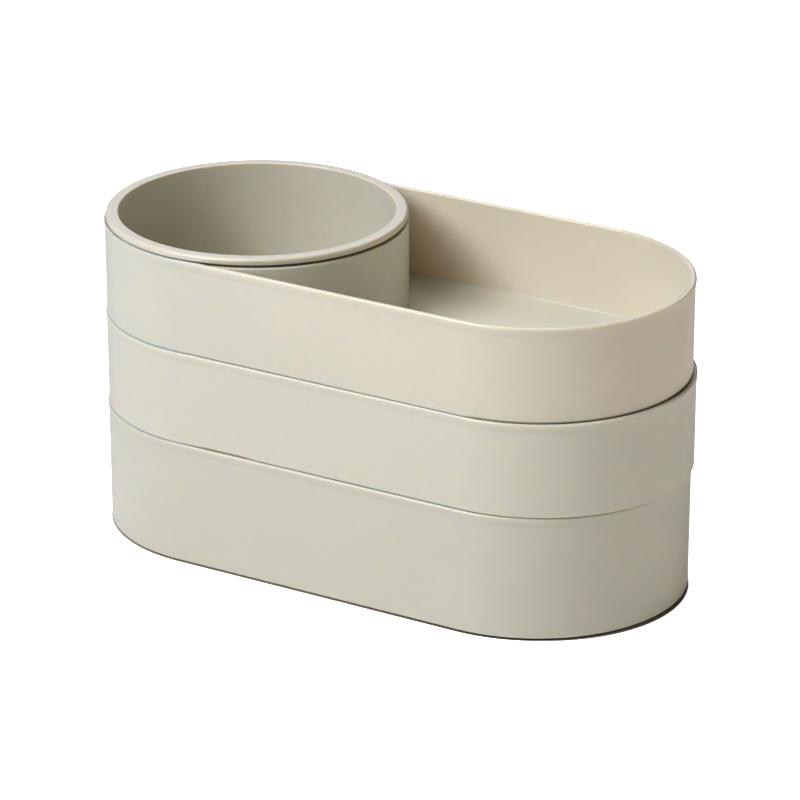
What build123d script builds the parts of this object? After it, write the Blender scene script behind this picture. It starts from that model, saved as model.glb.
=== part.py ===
from build123d import *
import os
from math import radians, tan

# A rotating makeup organizer: three obround trays stacked on a round brush cup, which is the
# spindle that the two upper trays turn on. Millimetres and degrees, +Z up. The origin is on the
# pivot axis, at the level of the table. The bottom tray reaches along +X.

# Plan of a tray
end_radius = 65.3           # round ends, measured at the lip
bottom_end_spacing = 137.5  # pivot axis to the centre of the far round end
middle_end_spacing = 139.0  # the middle tray looks out a little under the top one
top_end_spacing = 137.7
middle_tray_turn = 0.05     # how far the middle tray stands out of line at rest
top_tray_turn = -0.1        # the same for the top tray

# Heights
bottom_tray_height = 53.5
tray_height = 40.8          # middle and top tray
seam_gap = 0.4              # daylight between a lip and the tray above

# Walls of a tray
wall = 2.0
lip_flare = 0.35            # the lip stands out from the wall by this much
lip_height = 4.0
lip_outer_round = 1.0
lip_inner_round = 0.9
flare_round = 8.0           # eases the flare into the wall and the lip
wall_draft = 0.25
foot_round = 0.3            # outer edge of the underside
tray_floor = 2.0
bottom_floor = 3.0
floor_corner_round = 1.0    # inside, where the floor meets a wall
relief_depth = 0.3          # shallow relief in the underside of the upper trays
relief_inset = 6.0

# Collar round the cup
collar_inset = 0.6          # outside of the collar, in from the outside of the lip
collar_wall = 1.7
collar_edge_round = 0.8
seat_edge = 0.8             # lip left outside the seat, where a flange or the cup's rim lies
seat_depth = 0.9

# Brush cup
cup_wall = 2.4
cup_bore_draft = 0.3
cup_floor = 2.4
cup_floor_level = 12.6      # underside of the cup's floor above the table
cup_floor_round = 4.0
rim_clearance = 0.1         # edge of the rim inside the edge of the seat
rim_thickness = 2.8
rim_lift = 0.2              # underside of the rim above the top tray's lip
rim_outer_round = 1.2
rim_inner_round = 0.6
rim_under_round = 0.4
cup_foot_clearance = 0.3    # skirt of the cup above the bottom tray's floor

# Screws that hold the cup to the bottom tray
screw_count = 4
screw_inset = 19.2          # circle of the screws, in from the outside of the cup
screw_shank_radius = 1.5
screw_length = 8.0
screw_head_radius = 3.2
screw_head_height = 2.0
screw_clearance = 0.3       # round the shank and the head
screw_drive_radius = 1.4
screw_drive_depth = 1.2
screw_tip_clearance = 0.8   # left below the tip in its blind hole
boss_radius = 4.5
head_cover = 2.2            # plastic between the head and the boss above it
screw_pad_radius = 7.0

# Ring that centres the cup in the bottom tray
locating_clearance = 0.15
locating_height = 10.0

# Bushes and ring
bush_wall = 1.4
running_clearance = 0.1     # bush bore round the cup
flange_clearance = 0.3      # flange edge inside its seat
flange_bush_height = 12.0
guide_bush_height = 10.0
guide_bush_drop = 1.5       # below the collar's top
drag_ring_lap = 0.5         # how far the ring lies on the collar's top

# Base pad
pad_thickness = 1.8
pad_recess = 0.9
pad_inset = 1.4
pad_clearance = 0.2
pad_edge_round = 0.3

# Levels and radii that follow
pad_proud = pad_thickness - pad_recess
bottom_tray_level = pad_proud
middle_tray_level = bottom_tray_level + bottom_tray_height + seam_gap
top_tray_level = middle_tray_level + tray_height + seam_gap
stack_top = top_tray_level + tray_height
rim_level = stack_top + rim_lift
cup_top = rim_level + rim_thickness
bottom_floor_top = bottom_tray_level + bottom_floor
pad_radius = end_radius - lip_flare - pad_inset
seat_radius = end_radius - seat_edge
rim_radius = seat_radius - rim_clearance
collar_outer_radius = end_radius - collar_inset
collar_bore_radius = collar_outer_radius - collar_wall
bush_bore_radius = collar_bore_radius - bush_wall
cup_outer_radius = bush_bore_radius - running_clearance
screw_circle_radius = cup_outer_radius - screw_inset
screw_seat_level = pad_thickness + screw_head_height + screw_clearance
boss_foot_level = screw_seat_level + head_cover


def obround(end_spacing, radius, height, level):
    """A plain block with round ends, which stands on the given level."""
    outline = Pos(end_spacing / 2, 0) * SlotCenterToCenter(end_spacing, 2 * radius)
    return Pos(0, 0, level) * extrude(outline, height)


def ring(inner_radius, outer_radius, height, level):
    """A plain ring about the pivot axis."""
    outline = Circle(outer_radius) - Circle(inner_radius)
    return Pos(0, 0, level) * extrude(outline, height)


def around_the_tray(end_spacing, section):
    """Carry an upright section round the obround: two half turns and two straight runs."""
    half_turn = revolve(Plane.XZ * section, Axis.Z, 180)
    pivot_end = Rot(0, 0, 90) * half_turn
    far_end = Pos(end_spacing, 0, 0) * Rot(0, 0, -90) * half_turn
    back_run = extrude(Plane.YZ * section, end_spacing)
    front_run = mirror(back_run, Plane.XZ)
    return pivot_end + far_end + back_run + front_run


def round_corner(section, corner, radius):
    """Round the corner of a section that lies nearest to a point."""
    vertex = section.vertices().sort_by_distance(corner)[0]
    return fillet(vertex, radius)


def wall_section(height, floor):
    """The wall with its flared lip, its draft and a strip of the floor. It stands on level 0."""
    neck_level = height - lip_height
    neck_radius = end_radius - lip_flare
    foot_radius = neck_radius - neck_level * tan(radians(wall_draft))
    inner_top_radius = end_radius - lip_flare - wall + lip_height * tan(radians(wall_draft))
    inner_foot_radius = inner_top_radius - (height - floor) * tan(radians(wall_draft))
    strip_radius = inner_foot_radius - 3 * floor_corner_round
    lip_bottom_level = height - lip_height / 2
    corners = [
        (strip_radius, 0),
        (foot_radius, 0),
        (neck_radius, neck_level),
        (end_radius, lip_bottom_level),
        (end_radius, height),
        (inner_top_radius, height),
        (inner_foot_radius, floor),
        (strip_radius, floor),
    ]
    section = make_face(Polyline(*corners, close=True))
    section = round_corner(section, (foot_radius, 0), foot_round)
    section = round_corner(section, (neck_radius, neck_level), flare_round)
    section = round_corner(section, (end_radius, lip_bottom_level), flare_round)
    section = round_corner(section, (end_radius, height), lip_outer_round)
    section = round_corner(section, (inner_top_radius, height), lip_inner_round)
    section = round_corner(section, (inner_foot_radius, floor), floor_corner_round)
    return section


def collar(height, floor):
    """The ring round the cup, rounded at its top and eased into the floor outside it."""
    top = height - seat_depth
    strip_radius = collar_outer_radius + 3 * floor_corner_round
    corners = [
        (collar_bore_radius, 0),
        (strip_radius, 0),
        (strip_radius, floor),
        (collar_outer_radius, floor),
        (collar_outer_radius, top),
        (collar_bore_radius, top),
    ]
    section = make_face(Polyline(*corners, close=True))
    section = round_corner(section, (collar_outer_radius, floor), floor_corner_round)
    section = round_corner(section, (collar_outer_radius, top), collar_edge_round)
    return revolve(Plane.XZ * section, Axis.Z, 360)


def tray_body(end_spacing, height, floor):
    """Wall, floor and collar in one moulding, on level 0, with the seat cut but no bore yet."""
    foot_radius = end_radius - lip_flare - (height - lip_height) * tan(radians(wall_draft))
    inside_the_wall = foot_radius - wall / 2
    body = around_the_tray(end_spacing, wall_section(height, floor))
    body += obround(end_spacing, foot_radius - wall - floor_corner_round, floor, 0)
    body += collar(height, floor) & obround(end_spacing, inside_the_wall, height, 0)
    body -= Pos(0, 0, height - seat_depth) * extrude(Circle(seat_radius), seat_depth + 1)
    return body


def swivel_tray(end_spacing):
    """The middle or the top tray: the bore goes right through, and the underside is relieved."""
    tray = tray_body(end_spacing, tray_height, tray_floor)
    tray -= Pos(0, 0, -1) * extrude(Circle(collar_bore_radius), tray_height + 2)
    relief = obround(end_spacing, end_radius - lip_flare - relief_inset, relief_depth, 0)
    relief -= Pos(0, 0, -1) * extrude(Circle(end_radius + relief_inset), relief_depth + 2)
    return tray - relief


def screw_places():
    """Where the screws stand, on a circle about the pivot axis."""
    return PolarLocations(screw_circle_radius, screw_count, start_angle=45)


def bottom_tray():
    """The deep tray: its collar has a floor, a ring that centres the cup, and screw pads."""
    tray = tray_body(bottom_end_spacing, bottom_tray_height, bottom_floor)
    tray = Pos(0, 0, bottom_tray_level) * tray
    tray -= Pos(0, 0, bottom_floor_top) * extrude(Circle(collar_bore_radius), bottom_tray_height)
    locating_radius = cup_outer_radius + locating_clearance
    tray += ring(locating_radius, collar_bore_radius + wall / 4, locating_height, bottom_floor_top)
    tray -= obround(bottom_end_spacing, pad_radius + pad_clearance, pad_recess, bottom_tray_level)
    pad_height = boss_foot_level - pad_thickness
    for place in screw_places():
        tray += place * Pos(0, 0, pad_thickness) * extrude(Circle(screw_pad_radius), pad_height)
    head_hole = Circle(screw_head_radius + screw_clearance)
    shank_hole = Circle(screw_shank_radius + screw_clearance)
    for place in screw_places():
        tray -= place * Pos(0, 0, pad_thickness) * extrude(head_hole, screw_seat_level - pad_thickness)
        tray -= place * Pos(0, 0, pad_thickness) * extrude(shank_hole, pad_height + 1)
    return tray


def brush_cup():
    """The cup that the trays turn on. Its rim keeps them on it, and a skirt hides the screws."""
    bore_top_radius = cup_outer_radius - cup_wall
    floor_top = cup_floor_level + cup_floor
    bore_foot_radius = bore_top_radius - (cup_top - floor_top) * tan(radians(cup_bore_draft))
    skirt_level = bottom_floor_top + cup_foot_clearance
    skirt_inner_radius = bore_foot_radius
    corners = [
        (0, cup_floor_level),
        (skirt_inner_radius, cup_floor_level),
        (skirt_inner_radius, skirt_level),
        (cup_outer_radius, skirt_level),
        (cup_outer_radius, rim_level),
        (rim_radius, rim_level),
        (rim_radius, cup_top),
        (bore_top_radius, cup_top),
        (bore_foot_radius, floor_top),
        (0, floor_top),
    ]
    section = make_face(Polyline(*corners, close=True))
    section = round_corner(section, (rim_radius, rim_level), rim_under_round)
    section = round_corner(section, (rim_radius, cup_top), rim_outer_round)
    section = round_corner(section, (bore_top_radius, cup_top), rim_inner_round)
    section = round_corner(section, (bore_foot_radius, floor_top), cup_floor_round)
    cup = revolve(Plane.XZ * section, Axis.Z, 360)
    boss_height = cup_floor_level - boss_foot_level + cup_floor / 2
    hole_depth = screw_length - head_cover + screw_tip_clearance
    for place in screw_places():
        cup += place * Pos(0, 0, boss_foot_level) * extrude(Circle(boss_radius), boss_height)
    for place in screw_places():
        cup -= place * Pos(0, 0, boss_foot_level) * extrude(Circle(screw_shank_radius), hole_depth)
    return cup


def cup_screw():
    """A pan head screw, point up, with its head at level 0 and below."""
    head = Pos(0, 0, -screw_head_height) * extrude(Circle(screw_head_radius), screw_head_height)
    head = fillet(head.edges().group_by(Axis.Z)[0], screw_head_height / 3)
    screw = head + extrude(Circle(screw_shank_radius), screw_length)
    screw = chamfer(screw.edges().group_by(Axis.Z)[-1], screw_shank_radius / 2)
    drive = extrude(RegularPolygon(screw_drive_radius, 6), screw_drive_depth)
    return screw - Pos(0, 0, -screw_head_height) * drive


def cup_screws():
    """All the screws in one node, as separate solids."""
    screw = cup_screw()
    return Compound(children=[place * Pos(0, 0, screw_seat_level) * screw for place in screw_places()])


def flange_bush(level):
    """Bush at the foot of a collar: the flange fills the seam and runs in the seat below it."""
    flange_thickness = seam_gap + seat_depth
    flange = ring(bush_bore_radius, seat_radius - flange_clearance, flange_thickness,
                  level - flange_thickness)
    sleeve = ring(bush_bore_radius, collar_bore_radius, flange_bush_height, level)
    return flange + sleeve


def guide_bush(level):
    """Bush near the top of a collar."""
    foot = level + tray_height - seat_depth - guide_bush_drop - guide_bush_height
    return ring(bush_bore_radius, collar_bore_radius, guide_bush_height, foot)


def drag_ring():
    """Soft ring between the top collar and the rim of the cup."""
    foot = stack_top - seat_depth
    return ring(bush_bore_radius, collar_bore_radius + drag_ring_lap, rim_level - foot, foot)


def base_pad():
    """The non-slip pad that the organizer stands on. It covers the screws."""
    pad = obround(bottom_end_spacing, pad_radius, pad_thickness, 0)
    return fillet(pad.edges().group_by(Axis.Z)[0], pad_edge_round)


def main():
    middle_turn = Rot(0, 0, middle_tray_turn)
    top_turn = Rot(0, 0, top_tray_turn)
    middle_tray = Pos(0, 0, middle_tray_level) * swivel_tray(middle_end_spacing)
    top_tray = Pos(0, 0, top_tray_level) * swivel_tray(top_end_spacing)
    pieces = {
        "bottom_tray": bottom_tray(),
        "brush_cup": brush_cup(),
        "cup_screws": cup_screws(),
        "base_pad": base_pad(),
        "drag_ring": drag_ring(),
        "middle_tray": middle_turn * middle_tray,
        "middle_flange_bush": middle_turn * flange_bush(middle_tray_level),
        "middle_guide_bush": middle_turn * guide_bush(middle_tray_level),
        "top_tray": top_turn * top_tray,
        "top_flange_bush": top_turn * flange_bush(top_tray_level),
        "top_guide_bush": top_turn * guide_bush(top_tray_level),
    }
    os.makedirs("parts", exist_ok=True)
    for name, piece in pieces.items():
        export_step(piece, f"parts/{name}.step")
        print(name, round(piece.volume), "mm3")


main()
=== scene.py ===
# %% [markdown]
# # A rotating make-up organizer
#
# Three long trays with round ends stand on top of each other, moulded in one beige plastic. A deep
# round cup for brushes stands in the stack near one end. The photograph doesn't show how the trays
# turn, and the model takes the cup for the spindle of the two upper ones. The pieces come from a
# CAD model at full size, as estimated from the photograph, and this lesson doesn't build them
# again: it studies each finish, makes it from nodes, and lights the stack the way a studio does.
# All lengths are metres, and the trays reach along +X from the cup.

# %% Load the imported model
import math
import bpy
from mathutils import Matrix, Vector


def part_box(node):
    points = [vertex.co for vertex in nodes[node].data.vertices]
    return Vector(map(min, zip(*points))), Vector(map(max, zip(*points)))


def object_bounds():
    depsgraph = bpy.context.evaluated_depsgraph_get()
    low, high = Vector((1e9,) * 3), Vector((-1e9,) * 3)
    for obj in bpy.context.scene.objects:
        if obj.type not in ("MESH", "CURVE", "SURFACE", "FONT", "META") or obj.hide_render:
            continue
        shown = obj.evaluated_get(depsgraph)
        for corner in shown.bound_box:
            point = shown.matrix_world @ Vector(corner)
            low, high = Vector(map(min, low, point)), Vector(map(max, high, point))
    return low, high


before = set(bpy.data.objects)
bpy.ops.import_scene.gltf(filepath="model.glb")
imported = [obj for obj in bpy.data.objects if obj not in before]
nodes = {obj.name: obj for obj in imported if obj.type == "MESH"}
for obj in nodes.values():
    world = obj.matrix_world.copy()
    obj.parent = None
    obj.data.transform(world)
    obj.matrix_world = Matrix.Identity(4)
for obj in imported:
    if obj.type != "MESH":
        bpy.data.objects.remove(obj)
cad_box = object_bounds()
stack_size = cad_box[1] - cad_box[0]
print("pieces:", ", ".join(sorted(nodes)))
print("stack, mm:", [round(1000 * side, 1) for side in stack_size])

# %% [markdown]
# ## The camera
#
# The photograph was taken with a long lens from a little above the front right corner, so the
# upright edges stay upright and the far end is hardly smaller than the near one. A camera is
# easiest to match when it circles a point: a direction, a height above the horizon and a distance
# give its place, and one more rotation points it at the target. The long lens flattens the view as
# in the photograph, with no shift and no depth of field.

# %% Place the camera
camera_azimuth = math.radians(31.35)
camera_elevation = math.radians(21.77)
camera_distance = 1.9416
camera_target = Vector((0.07143, -0.00046, 0.06672))
lens_mm = 206.2
sensor_mm = 36.0


def towards(azimuth, elevation):
    """The direction from the object to something that stands round it. Azimuth 0 is the front."""
    flat = math.cos(elevation)
    return Vector((math.sin(azimuth) * flat, -math.cos(azimuth) * flat, math.sin(elevation)))


def look_at(thing, target):
    """Turn a camera or a light so that it faces a point."""
    thing.rotation_euler = (target - thing.location).to_track_quat("-Z", "Y").to_euler()


camera = bpy.data.objects.new("camera", bpy.data.cameras.new("camera"))
bpy.context.scene.collection.objects.link(camera)
camera.location = camera_target + camera_distance * towards(camera_azimuth, camera_elevation)
look_at(camera, camera_target)
camera.data.lens = lens_mm
camera.data.sensor_width = sensor_mm
bpy.context.scene.camera = camera
print("camera stands at", [round(c, 3) for c in camera.location])

# %% [markdown]
# ## The light
#
# The front walls are the brightest part and the right end lies in shade, with no hard shadow
# anywhere. That takes a very large soft source high up on the left of the camera. The bright inside
# of the back walls shows that light also comes over the stack from behind, and two small cards low
# on the right keep the shaded end open. Area lights do this: the larger the panel, the softer the
# shade. They stand round the target in the same way as the camera, so their places read as
# directions. Each strength and tint comes from a fit to the colours in the photograph. They are
# lights that give nearly the same picture, and the real studio may have had others. The room is
# white to the camera alone and sends no light, so that only the panels shape the stack. A gamma
# below one gives the soft contrast of a catalogue picture.

# %% Set up the lights
scene = bpy.context.scene
scene.view_settings.view_transform = "Standard"
scene.view_settings.gamma = 0.8


def soft_panel(name, azimuth, elevation, distance, size, watts, colour):
    """A square area light that stands round the target, in degrees and metres, and faces it."""
    data = bpy.data.lights.new(name, "AREA")
    data.shape = "SQUARE"
    data.size = size
    data.energy = watts
    data.color = colour
    panel = bpy.data.objects.new(name, data)
    scene.collection.objects.link(panel)
    direction = towards(math.radians(azimuth), math.radians(elevation))
    panel.location = camera_target + distance * direction
    look_at(panel, camera_target)
    return panel


panels = [
    soft_panel("key_panel", -20, 40, 2.0, 1.0, 22.2, (0.93, 0.95, 1.00)),
    soft_panel("high_key_panel", -20, 60, 2.0, 1.0, 8.9, (0.94, 0.95, 1.00)),
    soft_panel("window_panel", -35, 41, 2.0, 0.5, 8.0, (0.76, 0.83, 1.00)),
    soft_panel("top_panel", 0, 88, 1.6, 1.2, 2.8, (1.00, 0.89, 0.79)),
    soft_panel("low_back_panel", -149, 30, 2.0, 1.0, 2.9, (0.69, 0.76, 1.00)),
    soft_panel("high_back_panel", -149, 50, 2.0, 1.0, 12.5, (1.00, 0.96, 0.94)),
    soft_panel("right_card", 60, 8, 0.9, 0.34, 1.04, (1.00, 0.99, 0.97)),
    soft_panel("back_card", 120, 8, 0.9, 0.34, 1.12, (1.00, 0.95, 0.84)),
]
world = bpy.data.worlds.new("room")
scene.world = world
world.use_nodes = True
room = world.node_tree.nodes["Background"]
room.inputs["Color"].default_value = (1.0, 1.0, 1.0, 1.0)
room.inputs["Strength"].default_value = 1.0
for ray in ("diffuse", "glossy", "transmission", "scatter"):
    setattr(world.cycles_visibility, ray, False)
print("lights:", [panel.name for panel in panels])

# %% [markdown]
# ## Calculating with sockets
#
# A finish is a sum: a slow cloudiness plus a fine grain, times how far a point is from the lip.
# Wired by hand, each of those signs is a Math node. A small class can do that wiring: it holds one
# socket, and Python's own signs add the nodes, so the finishes below read like formulas. A second
# class holds the material and adds every other kind of node.

# %% A socket and a finish
class Wire:
    """An output socket. Adding, taking away or multiplying values adds a Math node."""

    def __init__(self, finish, socket):
        self.finish = finish
        self.socket = socket

    def output(self, name):
        """Another output of the same node."""
        return Wire(self.finish, self.socket.node.outputs[name])

    def math(self, operation, first, second=0.5):
        """Join two values by a Math node, or change one."""
        return self.finish.node("ShaderNodeMath", {"operation": operation}, {0: first, 1: second})

    def __add__(self, other):
        return self.math("ADD", self, other)

    def __sub__(self, other):
        return self.math("SUBTRACT", self, other)

    def __mul__(self, other):
        return self.math("MULTIPLY", self, other)

    def __rsub__(self, other):
        return self.math("SUBTRACT", other, self)

    __radd__ = __add__
    __rmul__ = __mul__


class Finish:
    """A material whose nodes are added by one method."""

    def __init__(self, name):
        self.material = bpy.data.materials.new(name)
        self.material.use_nodes = True
        self.tree = self.material.node_tree
        self.shader = self.tree.nodes["Principled BSDF"]

    def node(self, kind, settings=None, sockets=None):
        """Add a node: first its settings, then the values or wires of its sockets."""
        node = self.tree.nodes.new(kind)
        for name, value in (settings or {}).items():
            setattr(node, name, value)
        self.fill(node, sockets or {})
        return Wire(self, next(out for out in node.outputs if out.enabled))

    def fill(self, node, sockets):
        """Set a node's input sockets, which go by name or by number."""
        for key, value in sockets.items():
            named = [s for s in node.inputs if s.enabled and s.name == key]
            socket = node.inputs[key] if isinstance(key, int) else named[0]
            if isinstance(value, Wire):
                self.tree.links.new(value.socket, socket)
            else:
                socket.default_value = value

    def mix(self, share, first, second):
        """A colour between two colours."""
        sockets = {"Factor": share, "A": first, "B": second}
        return self.node("ShaderNodeMix", {"data_type": "RGBA"}, sockets)

    def ramp(self, value, low, high):
        """A smooth step from 0 at the low value to 1 at the high value."""
        sockets = {"Value": value, "From Min": low, "From Max": high}
        return self.node("ShaderNodeMapRange", {"interpolation_type": "SMOOTHSTEP"}, sockets)

    def place(self):
        """Where a point lies in its own object, in metres."""
        return self.node("ShaderNodeTexCoord").output("Object")

    def parts(self, vector):
        """A vector's X, which leads on to its Y and Z."""
        return self.node("ShaderNodeSeparateXYZ", None, {0: vector})

    def noise(self, place, scale, detail=2.0):
        """Soft noise between 0 and 1, with so many blobs to the metre."""
        sockets = {"Vector": place, "Scale": scale, "Detail": detail}
        return self.node("ShaderNodeTexNoise", None, sockets)

    def bump(self, height, depth, strength=1.0):
        """Turn a height between 0 and 1 into a relief of a depth in metres."""
        sockets = {"Height": height, "Distance": depth, "Strength": strength}
        return self.node("ShaderNodeBump", None, sockets)

    def shade(self, **sockets):
        """Set the shader's own sockets, where an underscore stands for a space."""
        named = {name.replace("_", " "): value for name, value in sockets.items()}
        self.fill(self.shader, named)
        return self.material


def lighter(colour, share):
    """A colour with all its parts multiplied, as a socket's four numbers."""
    return (*(min(1.0, part * share) for part in colour), 1.0)


white = (1.0, 1.0, 1.0)
print("wires add, subtract and multiply")

# %% [markdown]
# ## The floor
#
# Round the object the photograph is white all over, as from a pale paper sweep that the light has
# washed out. Only a thin dark line is left along the foot, where the model has its pad, with a
# narrow crescent of shadow at the far right. A single plane can't be both that white and that
# quiet: a floor that glows would light the stack from below. So there are two sheets in nearly the
# same place. The camera sees the first, which glows white outside the foot of the stack and takes
# no part in the lighting. The second sends the panels' light back up to the stack, and the camera
# doesn't see it. The price is that no cast shadow shows on the first. The dark line and the
# crescent are drawn in its material, to match the photograph. Both follow the foot of the lowest
# tray, which stands still, and a tray that swings out casts no shadow on the floor that is seen.

# %% Lay the floor
floor_half_width = 6.0
floor_corners = [(-1, -1), (1, -1), (1, 1), (-1, 1)]
tray_radius = 0.0653
foot_radius = 0.0647
foot_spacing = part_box("bottom_tray")[1].x - tray_radius
foot_edge = (-0.0001, 0.0005)
crescent_shift = (0.0049, -0.0012)
crescent_shrink = 0.0036
dimming_stretch = (0.05, 0.16)
fibres_per_metre = 400.0
shaded_paper = (0.30, 0.24, 0.17, 1.0)
glow_under_the_cup = (0.13, 0.11, 0.085, 1.0)
glow_at_the_far_end = (0.0, 0.0, 0.0, 1.0)


def floor_sheet(name, level):
    """A square sheet of the floor, which is no part of the object."""
    mesh = bpy.data.meshes.new(name)
    points = [(x * floor_half_width, y * floor_half_width, level) for x, y in floor_corners]
    mesh.from_pydata(points, [], [(0, 1, 2, 3)])
    sheet = bpy.data.objects.new(name, mesh)
    scene.collection.objects.link(sheet)
    return sheet


def outside_the_foot(finish, place, shift_x, shift_y):
    """How far a point of the floor lies outside the foot of the stack, or of a shifted copy."""
    parts = finish.parts(place)
    along = parts.output("X") - shift_x
    beside = parts.output("Y") - shift_y
    on_the_line = finish.node("ShaderNodeClamp", None, {"Value": along, "Max": foot_spacing})
    past_the_ends = along - on_the_line
    square = past_the_ends * past_the_ends + beside * beside
    return square.math("SQRT", square) - foot_radius


def white_sweep():
    """What the camera sees: white paper, with the dark line and the crescent drawn in it."""
    finish = Finish("white_sweep")
    place = finish.place()
    grain = finish.noise(place, fibres_per_metre)
    # Painted shadow: the dark line along the foot and the crescent at the far right.
    foot = outside_the_foot(finish, place, 0.0, 0.0)
    crescent = outside_the_foot(finish, place, *crescent_shift) + crescent_shrink
    open_floor = finish.ramp(foot.math("MINIMUM", foot, crescent), *foot_edge)
    # Painted light: the dark line glows faintly under the cup and fades out towards the far end.
    far_end = finish.ramp(finish.parts(place), *dimming_stretch)
    under_light = finish.mix(far_end, glow_under_the_cup, glow_at_the_far_end)
    paper = finish.mix(grain, lighter(white, 0.90), lighter(white, 0.95))
    return finish.shade(
        Base_Color=finish.mix(open_floor, shaded_paper, paper),
        Roughness=0.9,
        Emission_Color=finish.mix(open_floor, under_light, lighter(white, 1.0)),
        Emission_Strength=1.0,
    )


def pale_sweep():
    """What sends light back up to the stack: the same paper without the glow."""
    finish = Finish("pale_sweep")
    grain = finish.noise(finish.place(), fibres_per_metre)
    paper = finish.mix(grain, lighter(white, 0.76), lighter(white, 0.80))
    return finish.shade(Base_Color=paper, Roughness=0.9)


seen_floor = floor_sheet("seen_floor", 0.0)
lit_floor = floor_sheet("lit_floor", -0.0002)
seen_floor.data.materials.append(white_sweep())
lit_floor.data.materials.append(pale_sweep())
lit_floor.visible_camera = False
for ray in ("diffuse", "glossy", "transmission", "volume_scatter", "shadow"):
    setattr(seen_floor, f"visible_{ray}", False)
print("floor:", 2 * floor_half_width, "m wide")

# %% [markdown]
# ## Satin plastic
#
# The trays and the cup are moulded in a beige plastic, satin all over. The mould gives it a fine
# even grain that breaks up reflections. The lips are a little smoother, as fingers leave them, and
# that is a guess. Light goes a millimetre or two into such plastic before it comes out again, red
# light furthest, which is why its thin walls and shaded corners look warm. A subsurface shader does
# that by itself once the walls have their real thickness, and here they have. Its radius has one
# number for each colour of light, and one scale for all three. In the photograph the lowest tray is
# a little darker than these lights make it, the top tray is the warmest, and stretches of the lines
# under the trays are darker and browner. The picture doesn't tell why, and three settings stand in:
# painted shade that makes the lowest tray's colour a little darker, light that goes deepest into
# the top tray, and painted brown shade on stretches of the lower edges, in the lines between trays.

# %% The plastic of the trays and the cup
beige = (0.76, 0.727, 0.620)
seam_shade_brown = (0.22, 0.13, 0.07)
lip_band = 0.0025
seam_shade_band = 0.0010
seam_shade_fade = 0.005
clouds_per_metre, sags_per_metre, grains_per_metre = 18.0, 30.0, 2600.0
relief_depth, relief_strength = 0.0004, 0.35
satin_roughness = 0.30


def satin_plastic(name, colour, scatter, foot_level, lip_level, shaded_from, shaded_to):
    """Moulded plastic with grain, clouds, a polished lip and painted shade on its lower edge."""
    finish = Finish(name)
    place = finish.place()
    parts = finish.parts(place)
    along, height = parts.output("X"), parts.output("Z")
    slope = finish.parts(finish.node("ShaderNodeTexCoord").output("Normal")).output("Z")
    upright_face = 1 - slope.math("ABSOLUTE", slope)
    lip = finish.ramp(height, lip_level - lip_band, lip_level)
    # Painted shade: a brown band at the foot of upright faces darkens the seam under the tray.
    low_edge = 1 - finish.ramp(height, foot_level, foot_level + seam_shade_band)
    started = finish.ramp(along, shaded_from - seam_shade_fade, shaded_from + seam_shade_fade)
    ended = finish.ramp(along, shaded_to - seam_shade_fade, shaded_to + seam_shade_fade)
    patch = low_edge * upright_face * started * (1 - ended)
    cloud = finish.noise(place, clouds_per_metre, 3.0)
    grain = finish.noise(place, grains_per_metre)
    sag = finish.noise(place, sags_per_metre, 1.0)
    clean = finish.mix(cloud, lighter(colour, 0.985), lighter(colour, 1.015))
    tone = finish.mix(patch, clean, lighter(seam_shade_brown, 1.0))
    relief = finish.bump(0.97 * sag + 0.03 * grain, relief_depth, relief_strength)
    return finish.shade(
        Base_Color=tone,
        Roughness=satin_roughness - 0.06 * lip + 0.05 * cloud,
        Subsurface_Weight=1.0,
        Subsurface_Radius=(1.0, 0.72, 0.38),
        Subsurface_Scale=scatter,
        Normal=relief,
    )


def dress(node, material):
    """Give a CAD node its finish."""
    nodes[node].material_slots[0].material = material


nowhere = (0.300, 0.310)
mouldings = {  # slot, tone, depth of the scattered light, stretch of painted seam shade along X
    # The lowest tray's tone of 0.965 is painted shade that darkens the bottom of the stack.
    "bottom_tray": ("tray_plastic", 0.965, 0.0018, nowhere),
    "middle_tray": ("tray_plastic", 1.005, 0.0018, (0.012, 0.036)),
    "top_tray": ("tray_plastic", 1.000, 0.0028, (0.143, 0.300)),
    "brush_cup": ("cup_plastic", 1.000, 0.0018, nowhere),
}
for piece, (slot, tone_and_shade, scatter, stretch) in mouldings.items():
    foot, lip = (corner.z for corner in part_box(piece))
    colour = lighter(beige, tone_and_shade)[:3]
    dress(piece, satin_plastic(f"{piece}_plastic", colour, scatter, foot, lip, *stretch))
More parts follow.
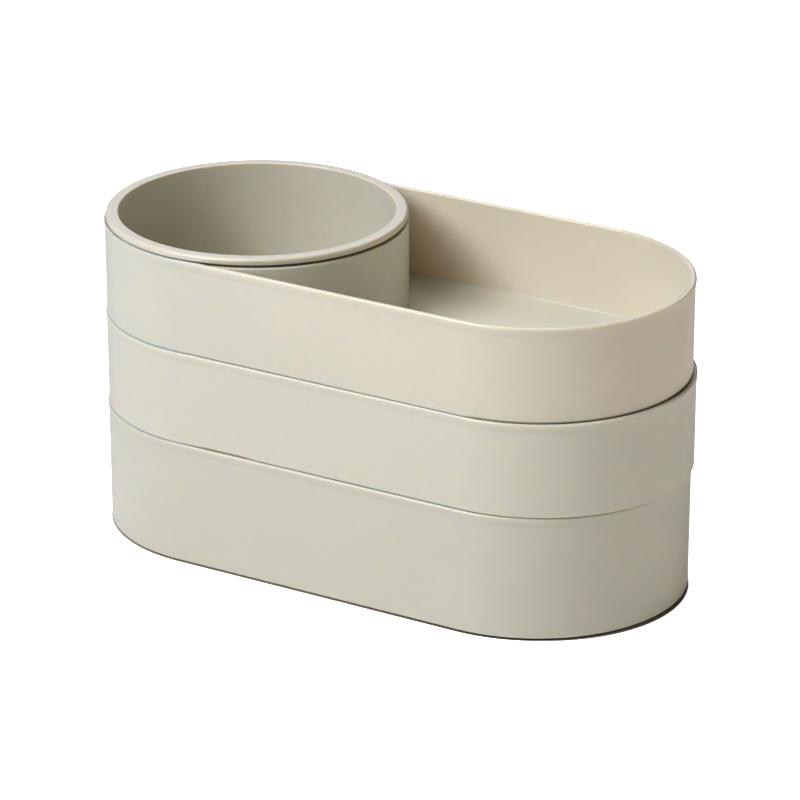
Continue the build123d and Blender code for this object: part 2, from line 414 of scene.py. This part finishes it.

# %% [markdown]
# ## Bushes, ring, pad and screws
#
# Of these only the edges of the ring and the pad come into view, where the photograph has a thin
# line under the cup's rim and another along the foot. What makes those lines and all the rest is
# guessed from what such a swivel is made of. The bushes are a white self-lubricating plastic,
# smoother than the trays and a little waxy. The drag ring and the base pad are rubber: the ring
# smooth, the pad pebbled to grip the table. The screws are zinc-plated steel. The ring and the pad
# change colour along the stack to match their lines in the photograph. Both turn from pale to dark
# on the way along +X, and that is painted light and shade in those lines.

# %% The pieces that work out of sight
def waxy_plastic(name, colour):
    """Natural bearing plastic, cloudy and smooth, with a faint orange peel."""
    finish = Finish(name)
    place = finish.place()
    cloud = finish.noise(place, 60.0)
    return finish.shade(
        Base_Color=finish.mix(cloud, lighter(colour, 0.97), lighter(colour, 1.03)),
        Roughness=0.28 + 0.10 * cloud,
        Normal=finish.bump(finish.noise(place, 900.0), 0.0001, 0.3),
    )


def rubber(name, colour, far_colour, turn_from, turn_to, pebbles_per_metre, depth):
    """Pebbled rubber whose colour changes on the way along the stack."""
    finish = Finish(name)
    place = finish.place()
    far = finish.ramp(finish.parts(place), turn_from, turn_to)
    cells = finish.node("ShaderNodeTexVoronoi", None, {"Vector": place, "Scale": pebbles_per_metre})
    patch = finish.noise(place, 90.0, 4.0)
    dark = finish.mix(far, lighter(colour, 0.8), lighter(far_colour, 0.8))
    pale = finish.mix(far, lighter(colour, 1.5), lighter(far_colour, 1.5))
    return finish.shade(
        Base_Color=finish.mix(patch, dark, pale),
        Roughness=0.75 + 0.15 * patch,
        Normal=finish.bump(1 - cells, depth),
    )


def zinc_plate(name):
    """Zinc-plated steel, brighter and rougher in patches."""
    finish = Finish(name)
    cloud = finish.noise(finish.place(), 500.0, 4.0)
    return finish.shade(
        Base_Color=finish.mix(cloud, (0.55, 0.57, 0.60, 1.0), (0.75, 0.76, 0.78, 1.0)),
        Metallic=1.0,
        Roughness=0.25 + 0.25 * cloud,
    )


bush_plastic = waxy_plastic("bush_plastic", (0.80, 0.79, 0.75))
for bush in ("middle_flange_bush", "middle_guide_bush", "top_flange_bush", "top_guide_bush"):
    dress(bush, bush_plastic)
# Painted light and shade in the line under the rim: the ring is pale below X 0, dark past 0.015 m.
lit_ring, shaded_ring = (0.62, 0.57, 0.47), (0.16, 0.11, 0.06)
ring_rubber = rubber("ring_rubber", lit_ring, shaded_ring, 0.0, 0.015, 1500.0, 0.0001)
dress("drag_ring", ring_rubber)
# Painted light and shade in the line along the foot: the pad is paler under the cup, dark past 0.16
# m.
lit_pad, shaded_pad = (0.20, 0.165, 0.125), (0.055, 0.043, 0.030)
pad_rubber = rubber("pad_rubber", lit_pad, shaded_pad, 0.05, 0.16, 600.0, 0.0003)
dress("base_pad", pad_rubber)
dress("cup_screws", zinc_plate("screw_steel"))
print("dressed:", len(nodes), "pieces")
